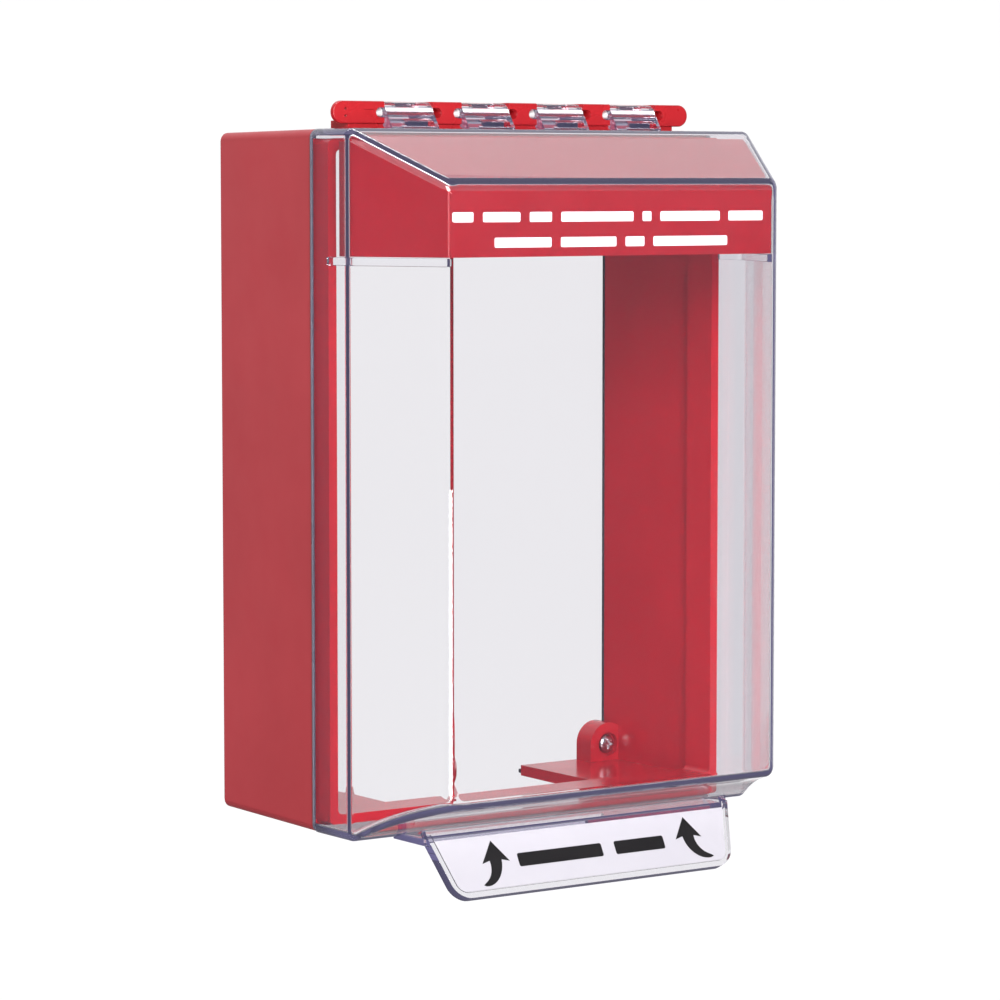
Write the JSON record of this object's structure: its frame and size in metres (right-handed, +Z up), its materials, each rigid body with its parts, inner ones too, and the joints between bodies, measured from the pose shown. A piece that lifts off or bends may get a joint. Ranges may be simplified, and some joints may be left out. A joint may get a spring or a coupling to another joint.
{
  "type": "manual call point protective cover",
  "caption": "Surface-mount lift-up cover for a manual call point: deep open-backed housing, clear tapered dome hinged at the top, labelled lift tab.",
  "frame": {"origin": "middle of the back, on the plane of the wall", "axes": "+Y into the wall, so the cover faces -Y; +Z up; +X to the right of someone facing the cover"},
  "size_m": [0.187, 0.132, 0.2931],
  "materials": {
    "housing_red": "fine spark-eroded texture, glossier inside",
    "rail_red": "smooth moulded",
    "gasket_foam": "closed-cell foam",
    "clear_plastic": "polished clear polycarbonate",
    "label_red": "printed film",
    "label_white": "printed film",
    "pin_white": "moulded acetal",
    "screw_steel": "plated"
  },
  "bodies": {
    "housing_body": {"housing": "housing_red", "back_gasket": "gasket_foam", "hinge_rail": "rail_red", "wall_screw_bottom_left": "screw_steel", "wall_screw_bottom_right": "screw_steel", "wall_screw_top_left": "screw_steel", "wall_screw_top_right": "screw_steel", "rail_screw_1": "screw_steel", "rail_screw_2": "screw_steel", "rail_screw_3": "screw_steel"},
    "cover": {"cover_shell": "clear_plastic", "warning_label": "label_red", "tab_label": "label_white", "hinge_lug_1": "clear_plastic", "hinge_lug_2": "clear_plastic", "hinge_lug_3": "clear_plastic", "hinge_lug_4": "clear_plastic", "hinge_pin_1": "pin_white", "hinge_pin_2": "pin_white", "hinge_pin_3": "pin_white", "hinge_pin_4": "pin_white"}
  },
  "joints": [
    {"name": "cover_hinge", "type": "hinge", "parent": "housing_body", "child": "cover", "pos_m": [0, -0.0626, 0.1366], "axis": [-1, 0, 0], "range_deg": [0, 110]}
  ]
}
